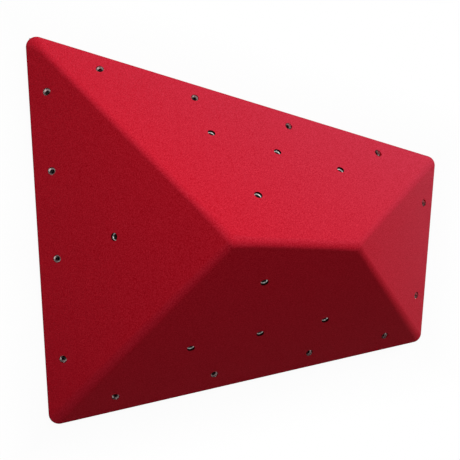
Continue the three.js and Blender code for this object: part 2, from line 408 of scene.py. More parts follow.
def rounded(points, radius, steps=LIP_STEPS):
    """The closed profile with each corner rounded."""
    result = []
    for index, point in enumerate(points):
        here = Vector(point)
        before = Vector(points[index - 1]) - here
        after = Vector(points[(index + 1) % len(points)]) - here
        angle = before.angle(after)
        reach = min(radius / math.tan(angle / 2), before.length / 2, after.length / 2)
        bend = reach * math.tan(angle / 2)
        inwards = (before.normalized() + after.normalized()).normalized()
        centre = here + inwards * (bend / math.sin(angle / 2))
        first = here + before.normalized() * reach - centre
        last = here + after.normalized() * reach - centre
        for step in range(steps + 1):
            spoke = first.lerp(last, step / steps)
            result.append(tuple(centre + spoke.normalized() * bend))
    return result


def post(radius, low, high, top_radius=None):
    """A round post or cone on Z, between two heights."""
    deselect()
    bpy.ops.mesh.primitive_cone_add(
        vertices=TURN_STEPS, radius1=radius, radius2=radius if top_radius is None else top_radius,
        depth=high - low, location=(0, 0, (low + high) / 2))
    return settle(bpy.context.object)


def give(piece, material):
    piece.data.materials.clear()
    piece.data.materials.append(material)
    return piece


def soften(piece):
    """Smooth shading that keeps flat faces flat and sharp edges sharp."""
    make_active(piece)
    bpy.ops.object.shade_smooth_by_angle(angle=SMOOTH_ANGLE)
    weights = piece.modifiers.new("flat faces first", "WEIGHTED_NORMAL")
    weights.weight = FLAT_FACE_WEIGHT
    weights.keep_sharp = True
    bpy.ops.object.modifier_apply(modifier=weights.name)
    return piece


def dress(piece, name, slot, *nodes):
    """Names a finished piece, fixes it to the object and puts it in its nodes' place."""
    piece.name = piece.data.name = name
    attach(piece, "root")
    if nodes:
        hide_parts(*nodes)


# Materials

class Socket:
    """A shader socket that takes Python's operators as Math nodes."""

    def __init__(self, finish, socket):
        self.finish, self.socket = finish, socket

    def math(self, operation, *values):
        return self.finish.add("ShaderNodeMath", {"operation": operation}, dict(enumerate(values)))

    def __add__(self, other):
        return self.math("ADD", self, other)

    def __radd__(self, other):
        return self.math("ADD", other, self)

    def __sub__(self, other):
        return self.math("SUBTRACT", self, other)

    def __rsub__(self, other):
        return self.math("SUBTRACT", other, self)

    def __mul__(self, other):
        return self.math("MULTIPLY", self, other)

    def __rmul__(self, other):
        return self.math("MULTIPLY", other, self)

    def clamped(self):
        return self.math("MAXIMUM", self.math("MINIMUM", self, 1.0), 0.0)


class Nodes:
    """A tree of shader nodes."""

    def __init__(self, owner):
        owner.use_nodes = True
        self.tree = owner.node_tree

    def feed(self, socket, value):
        if isinstance(value, Socket):
            self.tree.links.new(value.socket, socket)
        elif value is not None:
            socket.default_value = value

    def add(self, kind, settings=None, sockets=None, out=0):
        node = self.tree.nodes.new(kind)
        for name, value in (settings or {}).items():
            if name == "stops":
                self.set_stops(node.color_ramp, value)
            else:
                setattr(node, name, value)
        for name, value in (sockets or {}).items():
            self.feed(node.inputs[name], value)
        return Socket(self, node.outputs[out])

    def set_stops(self, ramp, stops):
        while len(ramp.elements) < len(stops):
            ramp.elements.new(0.5)
        for element, (place, colour) in zip(ramp.elements, stops):
            element.position = place
            element.color = colour

    def parts(self, vector):
        """The three numbers of a vector."""
        node = self.add("ShaderNodeSeparateXYZ", None, {"Vector": vector}).socket.node
        return [Socket(self, output) for output in node.outputs]

    def plain_sight(self):
        """1 for rays that show a thing, straight or by way of metal or glass, and 0 for all others."""
        outputs = self.add("ShaderNodeLightPath").socket.node.outputs
        kinds = ("Is Camera Ray", "Is Glossy Ray", "Is Transmission Ray")
        camera, glossy, through = (Socket(self, outputs[kind]) for kind in kinds)
        return camera.math("MAXIMUM", camera, glossy.math("MAXIMUM", glossy, through))

    def place(self):
        return self.add("ShaderNodeTexCoord", out="Object")

    def noise(self, place, scale, detail=2.0, roughness=0.5):
        return self.add("ShaderNodeTexNoise", None, {
            "Vector": place, "Scale": scale, "Detail": detail, "Roughness": roughness}, "Fac")

    def ramp(self, value, stops):
        return self.add("ShaderNodeValToRGB", {"stops": stops}, {"Fac": value}, "Color")

    def spread(self, value, low, high, to_low=0.0, to_high=1.0):
        """The value's run from low to high, as a run from to_low to to_high."""
        return self.add("ShaderNodeMapRange", None, {
            "Value": value, "From Min": low, "From Max": high,
            "To Min": to_low, "To Max": to_high}, "Result")

    def along(self, vector, way):
        """How far a vector goes one way."""
        return self.add("ShaderNodeVectorMath", {"operation": "DOT_PRODUCT"}, {0: vector, 1: way}, "Value")

    def mix(self, share, first, second):
        return self.add("ShaderNodeMix", {"data_type": "RGBA"}, {0: share, 6: first, 7: second}, 2)

    def bump(self, height, strength, distance):
        return self.add("ShaderNodeBump", None, {
            "Strength": strength, "Distance": distance, "Height": height}, "Normal")


class Finish(Nodes):
    """A material and the nodes that make it."""

    def __init__(self, name):
        self.material = bpy.data.materials.new(name)
        super().__init__(self.material)
        self.shader = self.tree.nodes["Principled BSDF"]

    def set(self, **values):
        for name, value in values.items():
            self.feed(self.shader.inputs[name.replace("_", " ")], value)
        return self.material


# Colours, as linear red, green, blue and cover
GEL_DEEP = (0.50, 0.0015, 0.0105, 1)
GEL_BRIGHT = (0.70, 0.0185, 0.0395, 1)
GEL_WORN = (0.61, 0.0110, 0.0270, 1)
# Painted shade along the foot of the rim
GEL_RIM_PAINTED_SHADE = (0.20, 0.0040, 0.0090, 1)
# Pale colour of chalk dust, also used as painted sheen and painted highlight
CHALK_AND_SHEEN = (0.64, 0.56, 1.00, 1)
# Near black walls of the nut holes, as painted shade
HOLE_SHADE_DARK = (0.008, 0.0015, 0.0015, 1)
HOLE_SHADE_PALE = (0.030, 0.0045, 0.0040, 1)
RESIN_DARK = (0.17, 0.022, 0.016, 1)
RESIN_PALE = (0.34, 0.070, 0.042, 1)
STRAND = (0.60, 0.42, 0.33, 1)
# Cup steel, tinted pink as a painted reflection of the red skin
STEEL_DULL_PAINTED_PINK = (0.62, 0.53, 0.53, 1)
STEEL_BRIGHT_PAINTED_PINK = (0.88, 0.78, 0.77, 1)
# Painted shade in the cups' cones and round their rims
CUP_PAINTED_SHADE = (0.100, 0.095, 0.090, 1)
ZINC_DULL = (0.82, 0.83, 0.80, 1)
ZINC_BRIGHT = (0.96, 0.96, 0.93, 1)
# Oiled steel of the inserts' bores, darkened further as painted shade
OILED_SHADE_DARK = (0.020, 0.021, 0.019, 1)
OILED_SHADE_PALE = (0.075, 0.078, 0.070, 1)
# Near black bores of the screw cups, as painted shade
CUP_BORE_SHADE_DARK = (0.003, 0.003, 0.003, 1)
CUP_BORE_SHADE_PALE = (0.012, 0.011, 0.010, 1)
BIRCH_DARK = (0.52, 0.35, 0.19, 1)
BIRCH_MIDDLE = (0.66, 0.49, 0.29, 1)
BIRCH_PALE = (0.72, 0.56, 0.35, 1)
PLY_DARK = (0.30, 0.17, 0.085, 1)
PLY_PALE = (0.62, 0.45, 0.26, 1)
GLUE_DARK = (0.36, 0.20, 0.10, 1)
GLUE_PALE = (0.60, 0.42, 0.26, 1)
FLOOR_PALE = (0.80, 0.80, 0.80, 1)
WHITE = (1, 1, 1, 1)

# The middle of a noise's run, over which a roughness or a cover varies
NOISE_MIDDLE = (0.3, 0.7)

# Sand and finer grit in the gel coat, in grains per metre, the part of the sand's noise that shows,
# and how much each roughens the face
SAND_SCALE = 560
GRIT_SCALE = 900
SAND_RUN = (0.34, 0.66)
SAND_RELIEF = 0.7
GRIT_RELIEF = 0.3

# Worn patches of the gel coat: the part of their noise that shows, and their cover
WEAR_RUN = (0.35, 0.75)
WEAR_COVER = 0.22

# Painted shade at the foot of the rim, as a dark band: the heights between which it fades, and its cover
# at the foot
RIM_PAINTED_SHADE_BAND = (RIM_RADIUS * 0.75, RIM_RADIUS * 1.6)
RIM_PAINTED_SHADE_COVER = 0.6

# Pale film, part chalk and part painted sheen: the way that its faces look and from what share of that to
# what, then the way in which it thickens, from where to where, and how thin it starts
CHALK_AND_SHEEN_FACES = (0.8, 0.62, 0.0)
CHALK_AND_SHEEN_FACE_RUN = (0.0, 0.6)
CHALK_AND_SHEEN_WAY = (1.0, 1.0, 0.0)
CHALK_AND_SHEEN_RUN = (-0.15, 0.42)
CHALK_AND_SHEEN_START = 0.10

# Chalk and painted highlight on the ridges: how far up they look, and its share there, then the specks
# that the sand leaves in the film, and the cover of the whole film
RIDGE_CHALK_AND_HIGHLIGHT_RUN = (0.77, 0.87)
RIDGE_CHALK_AND_HIGHLIGHT = 0.2
CHALK_AND_SHEEN_SPECKS = (0.4, 1.6)
CHALK_AND_SHEEN_COVER = 0.039

# Glass strands: the part of their noise that shows, and the cover of one layer
STRAND_RUN = (0.61, 0.69)
STRAND_COVER = 0.5

# Painted shade in a cup: the share of steel left unshaded at the foot of the cone and at the rim, and the
# radii between which the painted shade round the rim begins
UNSHADED_AT_CONE_FOOT = 0.35
UNSHADED_AT_RIM = 0.05
RIM_PAINTED_SHADE_RUN = (CUP_DIAMETER * 0.42, CUP_DIAMETER * 0.47)

# Patches of brighter zinc: the part of their noise that shows
ZINC_RUN = (0.35, 0.65)

# Wood grain and flecks per metre, along, across and through a board
GRAIN_SCALE = (18, 420, 60)
FLECK_SCALE = (60, 900, 300)

# Pairs of dark and pale plies over a pad's thickness, and how soft the lines between them are
PLY_PAIRS = 4.5
PLY_BLUR = 0.15


def gel_coat():
    """Red gel coat with fine sand in it, a pale film of chalk and painted sheen that thickens to the upper
    right and on the ridges, and painted shade at the foot of the rim.
    """
    finish = Finish("sanded_red_gel_coat")
    place = finish.place()
    sand = finish.noise(place, SAND_SCALE, detail=3.0, roughness=0.65)
    grit = finish.add(
        "ShaderNodeTexVoronoi", {"feature": "F1"}, {"Vector": place, "Scale": GRIT_SCALE}, "Distance")
    cloud = finish.noise(place, scale=26, detail=3.0, roughness=0.6)
    red = finish.mix(finish.spread(sand, *SAND_RUN), GEL_DEEP, GEL_BRIGHT)
    worn = finish.mix(finish.spread(cloud, *WEAR_RUN, to_high=WEAR_COVER), red, GEL_WORN)
    outward_way = finish.add("ShaderNodeTexCoord", out="Normal")
    chalk_and_sheen_slopes = finish.spread(finish.along(outward_way, CHALK_AND_SHEEN_FACES), *CHALK_AND_SHEEN_FACE_RUN)
    ridges = finish.spread(finish.parts(outward_way)[2], *RIDGE_CHALK_AND_HIGHLIGHT_RUN, to_high=RIDGE_CHALK_AND_HIGHLIGHT)
    reach = finish.spread(finish.along(place, CHALK_AND_SHEEN_WAY), *CHALK_AND_SHEEN_RUN, to_low=CHALK_AND_SHEEN_START)
    specks = finish.spread(sand, *SAND_RUN, *CHALK_AND_SHEEN_SPECKS)
    # Chalk and painted sheen: paler on the faces turned to the upper right, thicker towards that corner,
    # and on the ridges as a painted highlight
    film = (chalk_and_sheen_slopes * reach + ridges) * specks * CHALK_AND_SHEEN_COVER
    # Painted shade: darker in a band along the foot of the rim
    rim = finish.spread(finish.parts(place)[2], *RIM_PAINTED_SHADE_BAND, to_low=RIM_PAINTED_SHADE_COVER, to_high=0.0)
    relief = sand * SAND_RELIEF + (1 - grit) * GRIT_RELIEF
    return finish.set(
        Base_Color=finish.mix(rim, finish.mix(film, worn, CHALK_AND_SHEEN), GEL_RIM_PAINTED_SHADE),
        Roughness=finish.spread(sand, *NOISE_MIDDLE, to_low=0.60, to_high=0.48),
        Specular_IOR_Level=0.01,
        Sheen_Weight=0.06,
        Sheen_Roughness=0.3,
        Normal=finish.bump(relief, strength=0.45, distance=0.0010))


def hole_wall_shade():
    """Drilled edge of the skin inside its holes, painted near black as shade."""
    finish = Finish("hole_wall_painted_shade")
    cloud = finish.noise(finish.place(), scale=700, detail=3.0, roughness=0.6)
    return finish.set(
        Base_Color=finish.mix(cloud, HOLE_SHADE_DARK, HOLE_SHADE_PALE),
        Roughness=finish.spread(cloud, *NOISE_MIDDLE, to_low=0.6, to_high=0.8),
        Specular_IOR_Level=0.05,
        Normal=finish.bump(cloud, strength=0.5, distance=0.0005))


def laminate():
    """Bare glass-fibre laminate: chopped strands in resin over the red gel coat."""
    finish = Finish("glass_fibre_laminate")
    place = finish.place()
    strands = None
    for way in range(STRAND_WAYS):
        laid = finish.add("ShaderNodeMapping", {"vector_type": "TEXTURE"}, {
            "Vector": place, "Location": (way, way / 2, way / 3),
            "Rotation": (0, 0, math.pi * way / STRAND_WAYS), "Scale": STRAND_SIZE})
        layer = finish.noise(laid, scale=1.0, detail=0.0)
        threads = finish.spread(layer, *STRAND_RUN, to_high=STRAND_COVER)
        strands = threads if strands is None else strands + threads
    strands = strands.clamped()
    cloud = finish.noise(place, scale=14, detail=3.0, roughness=0.6)
    resin = finish.mix(cloud, RESIN_DARK, RESIN_PALE)
    cover = strands * finish.spread(cloud, *NOISE_MIDDLE, to_low=0.45, to_high=0.80)
    return finish.set(
        Base_Color=finish.mix(cover, resin, STRAND),
        Roughness=finish.spread(strands, 0.0, 1.0, to_low=0.26, to_high=0.46),
        Normal=finish.bump(strands * 0.5 + cloud * 2.0, strength=0.6, distance=0.0007))


def bright_steel():
    """Turned steel of the screw cups, tinted pink as a painted reflection of the red skin, with fine
    rings, smears of handling, and painted shade down the cone and round the rim.
    """
    finish = Finish("turned_bright_steel")
    own = finish.add("ShaderNodeAttribute", {"attribute_name": "own_place"}, None, "Vector")
    x, y, z = finish.parts(own)
    radius = x.math("SQRT", x * x + y * y)
    rings = finish.add("ShaderNodeCombineXYZ", None, {"X": radius, "Y": z, "Z": 0.0})
    turned_marks = finish.noise(rings, scale=5200, detail=2.0, roughness=0.6)
    smear = finish.noise(finish.place(), scale=340, detail=2.0, roughness=0.6)
    # Painted shade: darker down the cone towards the bore, and in a ring round the rim
    cone = finish.spread(z, CUP_HEIGHT - CUP_DISH_DEPTH, CUP_HEIGHT - CUP_LIP_RADIUS, to_low=UNSHADED_AT_CONE_FOOT)
    rim = finish.spread(radius, *RIM_PAINTED_SHADE_RUN, to_low=1.0, to_high=UNSHADED_AT_RIM)
    return finish.set(
        Base_Color=finish.mix(cone * rim, CUP_PAINTED_SHADE, finish.mix(smear, STEEL_DULL_PAINTED_PINK, STEEL_BRIGHT_PAINTED_PINK)),
        Metallic=0.9,
        Roughness=finish.spread(smear, *NOISE_MIDDLE, to_low=0.13, to_high=0.25),
        Normal=finish.bump(turned_marks, strength=0.35, distance=0.0001))


def zinc_steel():
    """Zinc-plated steel of the threaded inserts."""
    finish = Finish("zinc_plated_steel")
    place = finish.place()
    bloom = finish.noise(place, scale=480, detail=3.0, roughness=0.6)
    patches = finish.noise(place, scale=120, detail=2.0)
    return finish.set(
        Base_Color=finish.mix(finish.spread(patches, *ZINC_RUN), ZINC_DULL, ZINC_BRIGHT),
        Metallic=0.95,
        Roughness=finish.spread(bloom, *NOISE_MIDDLE, to_low=0.27, to_high=0.38),
        Normal=finish.bump(bloom, strength=0.08, distance=0.0001))


def bore_oil_and_shade():
    """Oiled, unplated steel inside an insert's bore, darkened further as painted shade."""
    finish = Finish("oiled_bore_painted_shade")
    film = finish.noise(finish.place(), scale=600, detail=2.0, roughness=0.6)
    return finish.set(
        Base_Color=finish.mix(film, OILED_SHADE_DARK, OILED_SHADE_PALE),
        Metallic=0.6,
        Roughness=finish.spread(film, *NOISE_MIDDLE, to_low=0.35, to_high=0.60),
        Normal=finish.bump(film, strength=0.2, distance=0.0002))


def cup_bore_shade():
    """Bore of a screw cup, painted near black as shade."""
    finish = Finish("cup_bore_painted_shade")
    film = finish.noise(finish.place(), scale=600, detail=2.0, roughness=0.6)
    return finish.set(
        Base_Color=finish.mix(film, CUP_BORE_SHADE_DARK, CUP_BORE_SHADE_PALE),
        Roughness=finish.spread(film, *NOISE_MIDDLE, to_low=0.55, to_high=0.80),
        Specular_IOR_Level=0.1,
        Normal=finish.bump(film, strength=0.2, distance=0.0002))


def plywood():
    """Birch plywood: long grain on the faces and thin plies on the edges."""
    finish = Finish("birch_plywood")
    own = finish.add("ShaderNodeAttribute", {"attribute_name": "own_place"}, None, "Vector")
    side = finish.add("ShaderNodeAttribute", {"attribute_name": "own_side"}, None, "Fac")
    height = finish.parts(own)[2]
    grain_place = finish.add("ShaderNodeMapping", None, {"Vector": own, "Scale": GRAIN_SCALE})
    fleck_place = finish.add("ShaderNodeMapping", None, {"Vector": own, "Scale": FLECK_SCALE})
    grain = finish.noise(grain_place, scale=1.0, detail=4.0, roughness=0.6)
    flecks = finish.noise(fleck_place, scale=1.0)
    ply = height.math("SINE", height * (2 * math.pi * PLY_PAIRS / PAD_THICKNESS))
    face_wood = finish.ramp(grain, ((0.30, BIRCH_DARK), (0.55, BIRCH_MIDDLE), (0.75, BIRCH_PALE)))
    edge_wood = finish.mix(finish.spread(ply, -PLY_BLUR, PLY_BLUR), PLY_DARK, PLY_PALE)
    return finish.set(
        Base_Color=finish.mix(side, face_wood, edge_wood),
        Roughness=finish.spread(flecks, *NOISE_MIDDLE, to_low=0.55, to_high=0.75),
        Normal=finish.bump(grain + flecks * 0.5, strength=0.35, distance=0.0003))


def resin():
    """Cured glue squeezed out round a pad."""
    finish = Finish("cured_resin")
    cloud = finish.noise(finish.place(), scale=160, detail=3.0, roughness=0.6)
    return finish.set(
        Base_Color=finish.mix(cloud, GLUE_DARK, GLUE_PALE),
        Roughness=finish.spread(cloud, *NOISE_MIDDLE, to_low=0.22, to_high=0.42),
        Normal=finish.bump(cloud, strength=0.4, distance=0.0006))


RED = gel_coat()
HOLE_WALL_SHADE = hole_wall_shade()
LAMINATE = laminate()
BRIGHT = bright_steel()
ZINC = zinc_steel()
BORE_OIL_AND_SHADE = bore_oil_and_shade()
CUP_BORE_SHADE = cup_bore_shade()
PLYWOOD = plywood()
RESIN = resin()


# Moulded skin

def rounded_form(depth, foot):
    """The whole rounded form, moved in by a depth: balls on the ridge and rings in the corners, hulled."""
    rim = max(RIM_RADIUS - depth, LEAST_RADIUS)
    corner = max(CORNER_RADIUS - depth, rim + LEAST_RADIUS)
    parts = []
    for radius, centre in ridge_balls(depth):
        deselect()
        bpy.ops.mesh.primitive_uv_sphere_add(
            segments=BALL_SEGMENTS, ring_count=BALL_SEGMENTS // 2, radius=radius, location=centre)
        parts.append(bpy.context.object)
    level = (Vector((0, 0, 1)), 0.0)
    for index, face in enumerate(faces):
        after = faces[(index + 1) % len(faces)]
        centre = planes_meet([face.side(depth + corner), after.side(depth + corner), level])
        height = (face.rim_height(depth + rim) + after.rim_height(depth + rim)) / 2
        deselect()
        bpy.ops.mesh.primitive_torus_add(
            major_radius=corner - rim, minor_radius=rim, major_segments=BALL_SEGMENTS,
            minor_segments=BALL_SEGMENTS, location=(centre.x, centre.y, height))
        parts.append(bpy.context.object)
        deselect()
        bpy.ops.mesh.primitive_circle_add(
            vertices=BALL_SEGMENTS, radius=corner, location=(centre.x, centre.y, foot))
        parts.append(bpy.context.object)
    form = settle(join(parts))
    edit_all(form)
    bpy.ops.mesh.convex_hull(join_triangles=False)
    bpy.ops.mesh.select_all(action="SELECT")
    bpy.ops.mesh.bisect(plane_co=(0, 0, foot), plane_no=(0, 0, 1), use_fill=True, clear_inner=True)
    bpy.ops.mesh.select_all(action="SELECT")
    bpy.ops.mesh.dissolve_limited(angle_limit=FLAT_ANGLE)
    leave_edit()
    # Rounding errors stay inside the model's own box
    lowest, highest = cad_bounds
    for vertex in form.data.vertices:
        vertex.co.z = min(vertex.co.z, highest[2])
        for axis in range(2):
            vertex.co[axis] = min(max(vertex.co[axis], lowest[axis]), highest[axis])
    return outward(form)


def screws():
    """Each screw's face and the place of its cup's foot."""
    for face in faces:
        for share in face.screw_shares:
            yield face, face.screw(share)


def nuts():
    """Each nut's face, its number there from zero, and its shares along and up the face."""
    for face in faces:
        for index, shares in enumerate(face.nut_shares):
            yield face, index, shares


def upright_at(foot):
    return Matrix.Translation((foot.x, foot.y, 0))


def boss_tools():
    """Bosses behind the recesses, which the cavity leaves standing."""
    tools = []
    for face, foot in screws():
        radius = RECESS_RADIUS + BOSS_WALL
        low = foot.z - SEAT_GAP - BOSS_FLOOR
        boss = post(radius, low, face.mouth_top(), radius + BOSS_DRAFT)
        lowest = {
            edge.index for edge in boss.data.edges
            if all(abs(height - low) < LEAST_RADIUS for height in end_heights(boss, edge))}
        round_edges(boss, lowest, BOSS_EDGE, LIP_STEPS)
        tools.append(settle(boss, upright_at(foot)))
    return give(join(tools), LAMINATE)


def recess_tools():
    """Cutters of the recesses that the cups stand in."""
    tools = []
    for face, foot in screws():
        recess = post(RECESS_RADIUS, foot.z - SEAT_GAP, face.mouth_top() + OVERRUN)
        tools.append(settle(recess, upright_at(foot)))
    return give(join(tools), RED)


def bore_tools():
    """Cutters of the screw holes through the bosses' floors."""
    tools = []
    for face, foot in screws():
        low = foot.z - SEAT_GAP - BOSS_FLOOR - OVERRUN
        bore = post(SCREW_HOLE_DIAMETER / 2, low, foot.z + CUP_HEIGHT)
        tools.append(settle(bore, upright_at(foot)))
    return give(join(tools), LAMINATE)


def nut_hole_tools():
    """Cutters of the holes that the nuts' barrels come through."""
    tools = []
    for face, index, shares in nuts():
        hole = post(NUT_HOLE_DIAMETER / 2, -SKIN_THICKNESS - OVERRUN / 2, OVERRUN)
        tools.append(settle(hole, face.nut(shares, 0)))
    # The walls that these cut take a near black finish as painted shade
    return give(join(tools), HOLE_WALL_SHADE)


def mouth_edges(skin):
    """Edges where a recess or nut hole opens in a face."""
    axes = [(face, foot, Vector((0, 0, 1)), RECESS_RADIUS) for face, foot in screws()]
    for face, index, shares in nuts():
        axes.append((face, face.nut(shares, 0).translation, face.out, NUT_HOLE_DIAMETER / 2))
    found = set()
    vertices = skin.data.vertices
    for face, centre, axis, radius in axes:
        normal, distance = face.slope(0)
        near = set()
        for vertex in vertices:
            offset = vertex.co - centre
            if offset.length > MOUTH_REACH * radius or abs(normal.dot(vertex.co) - distance) > FACE_ERROR:
                continue
            across = (offset - axis * offset.dot(axis)).length
            if abs(across - radius) < radius * MOUTH_ERROR:
                near.add(vertex.index)
        for edge in skin.data.edges:
            if edge.vertices[0] in near and edge.vertices[1] in near:
                length = (vertices[edge.vertices[0]].co - vertices[edge.vertices[1]].co).length
                if length < radius:
                    found.add(edge.index)
    return found


def make_skin():
    """The moulded skin, with its bosses, recesses, screw holes and nut holes, and rounded mouths."""
    cavity = give(rounded_form(SKIN_THICKNESS, -OVERRUN), LAMINATE)
    cavity = cut(cavity, boss_tools())
    skin = give(rounded_form(0, 0), RED)
    skin = cut(skin, cavity)
    skin = cut(skin, recess_tools())
    skin = cut(skin, bore_tools())
    skin = cut(skin, nut_hole_tools())
    slots = [slot.name for slot in skin.data.materials]
    for polygon in skin.data.polygons:
        if polygon.normal.z < -FOOT_NORMAL and polygon.center.z < LEAST_RADIUS:
            polygon.material_index = slots.index(LAMINATE.name)
    round_edges(skin, mouth_edges(skin), MOUTH_RADIUS, LIP_STEPS)
    soften(skin)
    dress(skin, "skin_moulding", "gel_coat", "moulded_skin")


make_skin()


# Screw cups

def keep_own_place(piece, side=False):
    """Stores each point's place in the piece's own frame, and which faces are edges of the board."""
    data = piece.data
    own = data.attributes.new("own_place", "FLOAT_VECTOR", "POINT")
    flat = [0.0] * (3 * len(data.vertices))
    data.vertices.foreach_get("co", flat)
    own.data.foreach_set("vector", flat)
    if side:
        sides = data.attributes.new("own_side", "FLOAT", "FACE")
        sides.data.foreach_set("value", [
            0.0 if abs(polygon.normal.z) > BOARD_NORMAL else 1.0 for polygon in data.polygons])


def line_bore(piece, radius, top, material):
    """Gives the wall of a bore, up to its countersink, a dark finish, which paints the bore's shade."""
    piece.data.materials.append(material)
    for polygon in piece.data.polygons:
        centre = polygon.center
        if math.hypot(centre.x, centre.y) < radius + BORE_ERROR and centre.z < top:
            polygon.material_index = 1


def make_cups():
    """Turns one screw cup and copies it to all their places."""
    outer = CUP_DIAMETER / 2
    bore = CUP_BORE / 2
    profile = rounded([
        (bore, 0),
        (outer, 0),
        (outer, CUP_HEIGHT),
        (CUP_DISH_DIAMETER / 2, CUP_HEIGHT),
        (bore, CUP_HEIGHT - CUP_DISH_DEPTH),
    ], CUP_LIP_RADIUS)
    cup = give(turned(profile), BRIGHT)
    line_bore(cup, bore, CUP_HEIGHT - CUP_DISH_DEPTH, CUP_BORE_SHADE)
    keep_own_place(cup)
    for face in faces:
        for index, share in enumerate(face.screw_shares):
            node = f"screw_cup_{face.name}_{index + 1}"
            piece = copy_of(cup, f"cup_{face.name}_{index + 1}", Matrix.Translation(face.screw(share)))
            soften(piece)
            dress(piece, piece.name, "bright_steel", node)
    discard(cup)


make_cups()


# Threaded inserts

def prong(clearance=0.0):
    """One bent prong, standing on the flange at its rim."""
    deselect()
    bpy.ops.mesh.primitive_cube_add(size=1)
    piece = bpy.context.object
    low, high = -FLANGE_THICKNESS, PRONG_LENGTH + clearance
    for vertex in piece.data.vertices:
        width = PRONG_WIDTH if vertex.co.z < 0 else PRONG_TIP_WIDTH
        vertex.co = (
            math.copysign(width / 2 + clearance, vertex.co.x),
            PRONG_PITCH_RADIUS + math.copysign(FLANGE_THICKNESS / 2 + clearance, vertex.co.y),
            high if vertex.co.z > 0 else low)
    edit_all(piece, "EDGE")
    bpy.ops.mesh.bevel(offset=LEAST_RADIUS / 2, segments=EDGE_STEPS)
    leave_edit()
    return piece


def around(piece, index):
    """Turns a piece on Z to its place in the ring of prongs."""
    return settle(piece, Matrix.Rotation((index + 0.5) * 2 * math.pi / PRONG_COUNT, 4, "Z"))


def thread():
    """Helical ridge of the bore, as a turned wire."""
    turns = int((NUT_BARREL_LENGTH + FLANGE_THICKNESS - 2 * NUT_CHAMFER) / THREAD_PITCH) - 1
    bore = NUT_BORE_DIAMETER / 2
    deselect()
    bpy.ops.mesh.primitive_circle_add(vertices=4, radius=THREAD_DEPTH, fill_type="NGON")
    wire = bpy.context.object
    shape = (
        (bore, -THREAD_FOOT), (bore - THREAD_DEPTH, -THREAD_CREST),
        (bore - THREAD_DEPTH, THREAD_CREST), (bore, THREAD_FOOT))
    for vertex, (radius, height) in zip(wire.data.vertices, shape):
        vertex.co = (radius, 0, height - FLANGE_THICKNESS + NUT_CHAMFER + THREAD_PITCH)
    make_active(wire)
    screw = wire.modifiers.new("helix", "SCREW")
    screw.screw_offset = THREAD_PITCH
    screw.iterations = turns
    screw.steps = screw.render_steps = THREAD_STEPS
    screw.use_merge_vertices = False
    bpy.ops.object.modifier_apply(modifier=screw.name)
    return outward(wire)


def make_nuts():
    """Makes one threaded insert, with its flange, prongs and thread, and copies it to all their places."""
    bore = NUT_BORE_DIAMETER / 2
    barrel = NUT_BARREL_DIAMETER / 2
    flange = FLANGE_DIAMETER / 2
    nut = turned(rounded([
        (bore + NUT_CHAMFER, -FLANGE_THICKNESS),
        (flange, -FLANGE_THICKNESS),
        (flange, 0),
        (barrel, 0),
        (barrel, NUT_BARREL_LENGTH),
        (bore + NUT_MOUTH_CHAMFER, NUT_BARREL_LENGTH),
        (bore, NUT_BARREL_LENGTH - NUT_MOUTH_CHAMFER),
        (bore, NUT_CHAMFER - FLANGE_THICKNESS),
    ], LEAST_RADIUS / 2, EDGE_STEPS))
    for index in range(PRONG_COUNT):
        outer = PRONG_PITCH_RADIUS + FLANGE_THICKNESS / 2
        deselect()
        bpy.ops.mesh.primitive_cube_add(size=1)
        notch = bpy.context.object
        notch.scale = (PRONG_WIDTH, flange, 4 * FLANGE_THICKNESS)
        notch.location = (0, outer + flange / 2, 0)
        settle(notch)
        cut(nut, around(notch, index))
        cut(nut, around(prong(), index), "UNION")
    nut = give(nut, ZINC)
    line_bore(nut, bore, NUT_BARREL_LENGTH - NUT_MOUTH_CHAMFER, BORE_OIL_AND_SHADE)
    nut = join([nut, give(thread(), BORE_OIL_AND_SHADE)])
    for face, index, shares in nuts():
        node = f"t_nut_{face.name}_{index + 1}"
        piece = copy_of(nut, f"nut_{face.name}_{index + 1}", face.nut(shares, FLANGE_FRONT_DEPTH))
        soften(piece)
        dress(piece, piece.name, "zinc_steel", node)
    discard(nut)


make_nuts()


# Plywood pads and the glue round them

def rounded_square(width, corner, side_steps=1):
    """Outline points of a square with round corners."""
    points = []
    straight = width / 2 - corner
    for quarter, (x, y) in enumerate(((1, 1), (-1, 1), (-1, -1), (1, -1))):
        for step in range(CORNER_STEPS + 1):
            angle = (quarter + step / CORNER_STEPS) * math.pi / 2
            centre = Vector((x * straight, y * straight))
            points.append(centre + Vector((math.cos(angle), math.sin(angle))) * corner)
        last = points[-1]
        way = Vector((-math.sin(angle), math.cos(angle))) * 2 * straight
        points += [last + way * (step / side_steps) for step in range(1, side_steps)]
    return points


def outline_loop(points):
    """A flat face with this outline."""
    deselect()
    bpy.ops.mesh.primitive_circle_add(vertices=len(points), radius=PAD_WIDTH, fill_type="NGON")
    piece = bpy.context.object
    for vertex, (x, y) in zip(piece.data.vertices, points):
        vertex.co = (x, y, 0)
    return piece


